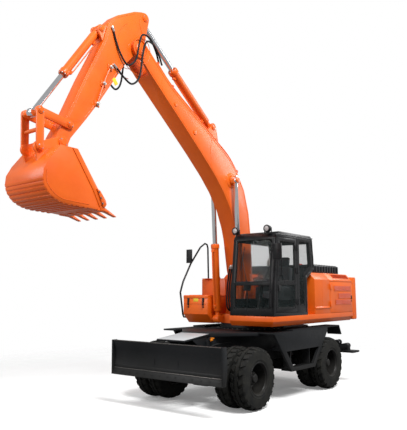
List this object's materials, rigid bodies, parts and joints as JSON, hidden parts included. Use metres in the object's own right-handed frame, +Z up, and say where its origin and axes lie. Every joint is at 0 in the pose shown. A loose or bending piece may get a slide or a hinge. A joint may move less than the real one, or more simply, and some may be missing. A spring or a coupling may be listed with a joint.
{
  "type": "wheeled excavator",
  "caption": "Wheeled excavator with a rotating house, cab on one side, raised boom, arm and bucket, dozer blade, outriggers and twin tyres.",
  "frame": {"origin": "on the ground under the slew axis", "axes": "+X forward to the blade and boom side, +Y to the machine's left (cab side), +Z up"},
  "size_m": [8.38, 2.87, 6.8995],
  "materials": {
    "orange_paint": "semi-gloss",
    "dark_paint": "satin",
    "cab_paint": "semi-gloss",
    "rim_paint": "satin",
    "tyre_rubber": "matte",
    "chrome_rod": "polished",
    "cast_iron": "rough",
    "glass": "clear",
    "seat_fabric": "woven",
    "trim_plastic": "matte"
  },
  "bodies": {
    "chassis": {"chassis_frame": "dark_paint", "step_frame_left": "dark_paint", "step_frame_right": "dark_paint", "front_axle": "dark_paint", "rear_axle": "dark_paint"},
    "house": {"house_frame": "orange_paint", "left_body_cover": "orange_paint", "hydraulic_tank": "orange_paint", "fuel_tank": "orange_paint", "engine_bay_frame": "orange_paint", "engine_block": "cast_iron", "toolbox": "orange_paint", "counterweight": "orange_paint", "cab_body": "cab_paint", "operator_seat": "seat_fabric", "windscreen": "glass", "mirror_right": "trim_plastic"},
    "steering_left": {"steering_knuckle_left": "dark_paint"},
    "steering_right": {"steering_knuckle_right": "dark_paint"},
    "wheel_front_left": {"wheel_rim_front_left": "rim_paint", "tyres_front_left": "tyre_rubber"},
    "wheel_front_right": {"wheel_rim_front_right": "rim_paint", "tyres_front_right": "tyre_rubber"},
    "wheel_rear_left": {"wheel_rim_rear_left": "rim_paint", "tyres_rear_left": "tyre_rubber"},
    "wheel_rear_right": {"wheel_rim_rear_right": "rim_paint", "tyres_rear_right": "tyre_rubber"},
    "blade": {"blade": "dark_paint"},
    "blade_arms": {"blade_arms": "dark_paint"},
    "blade_top_link": {"blade_top_link": "dark_paint"},
    "blade_cylinder_barrel": {"blade_cylinder_barrel": "dark_paint"},
    "blade_cylinder_rod": {"blade_cylinder_rod": "chrome_rod"},
    "outrigger_left": {"outrigger_arm_left": "dark_paint"},
    "outrigger_left_barrel": {"outrigger_cylinder_left_barrel": "dark_paint"},
    "outrigger_left_rod": {"outrigger_cylinder_left_rod": "chrome_rod"},
    "engine_door_left": {"engine_door_left": "orange_paint"},
    "outrigger_right": {"outrigger_arm_right": "dark_paint"},
    "outrigger_right_barrel": {"outrigger_cylinder_right_barrel": "dark_paint"},
    "outrigger_right_rod": {"outrigger_cylinder_right_rod": "chrome_rod"},
    "engine_door_right": {"engine_door_right": "orange_paint"},
    "boom": {"boom": "orange_paint"},
    "arm": {"arm": "orange_paint"},
    "bucket": {"bucket": "orange_paint"},
    "boom_cylinder_barrels": {"boom_cylinder_left_barrel": "orange_paint", "boom_cylinder_right_barrel": "orange_paint"},
    "boom_cylinder_rods": {"boom_cylinder_left_rod": "chrome_rod", "boom_cylinder_right_rod": "chrome_rod"},
    "arm_cylinder_barrel": {"arm_cylinder_barrel": "orange_paint"},
    "arm_cylinder_rod": {"arm_cylinder_rod": "chrome_rod"},
    "bucket_cylinder_barrel": {"bucket_cylinder_barrel": "orange_paint"},
    "bucket_cylinder_rod": {"bucket_cylinder_rod": "chrome_rod"},
    "bucket_rocker": {"bucket_rocker": "orange_paint"},
    "bucket_link": {"bucket_link": "orange_paint"},
    "cab_door": {"cab_door": "cab_paint"},
    "engine_hood": {"engine_hood": "trim_plastic"},
    "toolbox_lid": {"toolbox_lid": "orange_paint"}
  },
  "joints": [
    {"name": "slew", "type": "hinge", "parent": "chassis", "child": "house", "pos_m": [0, 0, 0], "axis": [0, 0, 1], "continuous": true},
    {"name": "steer_left", "type": "hinge", "parent": "chassis", "child": "steering_left", "pos_m": [1.69, 0.78, 0.527], "axis": [0, 0, 1], "range_deg": [-28, 28]},
    {"name": "steer_right", "type": "hinge", "parent": "chassis", "child": "steering_right", "pos_m": [1.69, -0.78, 0.527], "axis": [0, 0, 1], "range_deg": [-28.5, 28.5]},
    {"name": "spin_front_left", "type": "hinge", "parent": "steering_left", "child": "wheel_front_left", "pos_m": [1.69, 0.945, 0.527], "axis": [0, 1, 0], "continuous": true},
    {"name": "spin_rear_left", "type": "hinge", "parent": "chassis", "child": "wheel_rear_left", "pos_m": [-1.14, 0.945, 0.527], "axis": [0, 1, 0], "continuous": true},
    {"name": "spin_front_right", "type": "hinge", "parent": "steering_right", "child": "wheel_front_right", "pos_m": [1.69, -0.945, 0.527], "axis": [0, 1, 0], "continuous": true},
    {"name": "spin_rear_right", "type": "hinge", "parent": "chassis", "child": "wheel_rear_right", "pos_m": [-1.14, -0.945, 0.527], "axis": [0, 1, 0], "continuous": true},
    {"name": "blade_lift", "type": "hinge", "parent": "chassis", "child": "blade_arms", "pos_m": [2.0654, 0, 0.44761], "axis": [0, 1, 0], "range_deg": [0, 51.5]},
    {"name": "blade_level", "type": "hinge", "parent": "blade_arms", "child": "blade", "pos_m": [2.6, 0, 0.72], "axis": [0, 1, 0], "range_deg": [-52.5, 1]},
    {"name": "blade_top_link_tilt", "type": "hinge", "parent": "chassis", "child": "blade_top_link", "pos_m": [2.0654, 0, 0.72761], "axis": [0, 1, 0], "range_deg": [-1, 52.5]},
    {"name": "blade_cylinder_tilt", "type": "hinge", "parent": "chassis", "child": "blade_cylinder_barrel", "pos_m": [2.1, 0, 0.97], "axis": [0, 1, 0], "range_deg": [-0.57, 30.72]},
    {"name": "blade_cylinder_stroke", "type": "slide", "parent": "blade_cylinder_barrel", "child": "blade_cylinder_rod", "axis": [0.8944, 0, -0.4472], "range_m": [-0.01, 0.38923]},
    {"name": "outrigger_left_swing", "type": "hinge", "parent": "chassis", "child": "outrigger_left", "pos_m": [-2.18, 0.42, 0.62], "axis": [-1, 0, 0], "range_deg": [0, 58]},
    {"name": "outrigger_left_cylinder_tilt", "type": "hinge", "parent": "chassis", "child": "outrigger_left_barrel", "pos_m": [-2.18, 0.2, 1.02], "axis": [-1, 0, 0], "range_deg": [-0.57, 33.65]},
    {"name": "outrigger_left_cylinder_stroke", "type": "slide", "parent": "outrigger_left_barrel", "child": "outrigger_left_rod", "axis": [0, 0.9776, -0.2105], "range_m": [-0.01, 0.27314]},
    {"name": "outrigger_right_swing", "type": "hinge", "parent": "chassis", "child": "outrigger_right", "pos_m": [-2.18, -0.42, 0.62], "axis": [1, 0, 0], "range_deg": [0, 58]},
    {"name": "outrigger_right_cylinder_tilt", "type": "hinge", "parent": "chassis", "child": "outrigger_right_barrel", "pos_m": [-2.18, -0.2, 1.02], "axis": [1, 0, 0], "range_deg": [-0.57, 33.65]},
    {"name": "outrigger_right_cylinder_stroke", "type": "slide", "parent": "outrigger_right_barrel", "child": "outrigger_right_rod", "axis": [0, -0.9776, -0.2105], "range_m": [-0.01, 0.27314]},
    {"name": "boom_lower", "type": "hinge", "parent": "house", "child": "boom", "pos_m": [0.13, -0.15, 2], "axis": [0, 1, 0], "range_deg": [-2, 76]},
    {"name": "boom_cylinder_tilt", "type": "hinge", "parent": "house", "child": "boom_cylinder_barrels", "pos_m": [0.61, -0.15, 1.45], "axis": [0, 1, 0], "range_deg": [-2.41, 70.34]},
    {"name": "boom_cylinder_stroke", "type": "slide", "parent": "boom_cylinder_barrels", "child": "boom_cylinder_rods", "axis": [0.0531, 0, 0.9986], "range_m": [-0.87926, 0.03288]},
    {"name": "arm_extend", "type": "hinge", "parent": "boom", "child": "arm", "pos_m": [3.47, -0.15, 6.16], "axis": [0, -1, 0], "range_deg": [-40, 75]},
    {"name": "arm_cylinder_tilt", "type": "hinge", "parent": "boom", "child": "arm_cylinder_barrel", "pos_m": [1.25, -0.15, 5.3], "axis": [0, -1, 0], "range_deg": [-1.29, 1.92]},
    {"name": "arm_cylinder_stroke", "type": "slide", "parent": "arm_cylinder_barrel", "child": "arm_cylinder_rod", "axis": [0.807, 0, 0.5905], "range_m": [-0.75645, 0.40811]},
    {"name": "bucket_dump", "type": "hinge", "parent": "arm", "child": "bucket", "pos_m": [5, -0.15, 4.17], "axis": [0, -1, 0], "range_deg": [-50, 90]},
    {"name": "bucket_rocker_tilt", "type": "hinge", "parent": "arm", "child": "bucket_rocker", "pos_m": [4.88, -0.15, 4.46], "axis": [0, -1, 0], "range_deg": [-43.53, 77.89]},
    {"name": "bucket_link_tilt", "type": "hinge", "parent": "bucket_rocker", "child": "bucket_link", "pos_m": [5.43, -0.15, 4.54], "axis": [0, -1, 0], "range_deg": [-37.25, 20.95]},
    {"name": "bucket_cylinder_tilt", "type": "hinge", "parent": "arm", "child": "bucket_cylinder_barrel", "pos_m": [4.27, -0.15, 6.24], "axis": [0, -1, 0], "range_deg": [-2.43, 3.92]},
    {"name": "bucket_cylinder_stroke", "type": "slide", "parent": "bucket_cylinder_barrel", "child": "bucket_cylinder_rod", "axis": [0.5636, 0, -0.826], "range_m": [-0.65381, 0.36767]},
    {"name": "cab_door_swing", "type": "hinge", "parent": "house", "child": "cab_door", "pos_m": [0.234, 1.2323, 1.75], "axis": [0, 0, 1], "range_deg": [0, 100]},
    {"name": "engine_door_left_swing", "type": "hinge", "parent": "house", "child": "engine_door_left", "pos_m": [-1.21, 1.2323, 1.68], "axis": [0, 0, -1], "range_deg": [0, 100]},
    {"name": "engine_door_right_swing", "type": "hinge", "parent": "house", "child": "engine_door_right", "pos_m": [-1.21, -1.2323, 1.68], "axis": [0, 0, 1], "range_deg": [0, 100]},
    {"name": "engine_hood_lift", "type": "hinge", "parent": "house", "child": "engine_hood", "pos_m": [-1.13, 0, 2.41], "axis": [0, 1, 0], "range_deg": [0, 60]},
    {"name": "toolbox_lid_lift", "type": "hinge", "parent": "house", "child": "toolbox_lid", "pos_m": [0.1803, -0.87, 1.93], "axis": [0, -1, 0], "range_deg": [0, 75]}
  ],
  "couplings": [
    {"joint": "steer_right", "follows": "steer_left", "ratio": 1},
    {"joint": "blade_level", "follows": "blade_lift", "ratio": -1},
    {"joint": "blade_top_link_tilt", "follows": "blade_lift", "ratio": 1},
    {"joint": "blade_cylinder_tilt", "follows": "blade_lift", "ratio": 0.58538},
    {"joint": "blade_cylinder_stroke", "follows": "blade_lift", "m_per_rad": 0.42191},
    {"joint": "outrigger_left_cylinder_tilt", "follows": "outrigger_left_swing", "ratio": 0.57023},
    {"joint": "outrigger_left_cylinder_stroke", "follows": "outrigger_left_swing", "m_per_rad": 0.25995},
    {"joint": "outrigger_right_cylinder_tilt", "follows": "outrigger_right_swing", "ratio": 0.57023},
    {"joint": "outrigger_right_cylinder_stroke", "follows": "outrigger_right_swing", "m_per_rad": 0.25995},
    {"joint": "boom_cylinder_tilt", "follows": "boom_lower", "ratio": 0.91804},
    {"joint": "boom_cylinder_stroke", "follows": "boom_lower", "m_per_rad": -0.65533},
    {"joint": "arm_cylinder_tilt", "follows": "arm_extend", "ratio": 0.01801},
    {"joint": "arm_cylinder_stroke", "follows": "arm_extend", "m_per_rad": -0.57025},
    {"joint": "bucket_rocker_tilt", "follows": "bucket_dump", "ratio": 0.85905},
    {"joint": "bucket_link_tilt", "follows": "bucket_dump", "ratio": -0.40756},
    {"joint": "bucket_cylinder_tilt", "follows": "bucket_dump", "ratio": 0.03714},
    {"joint": "bucket_cylinder_stroke", "follows": "bucket_dump", "m_per_rad": -0.40987}
  ]
}
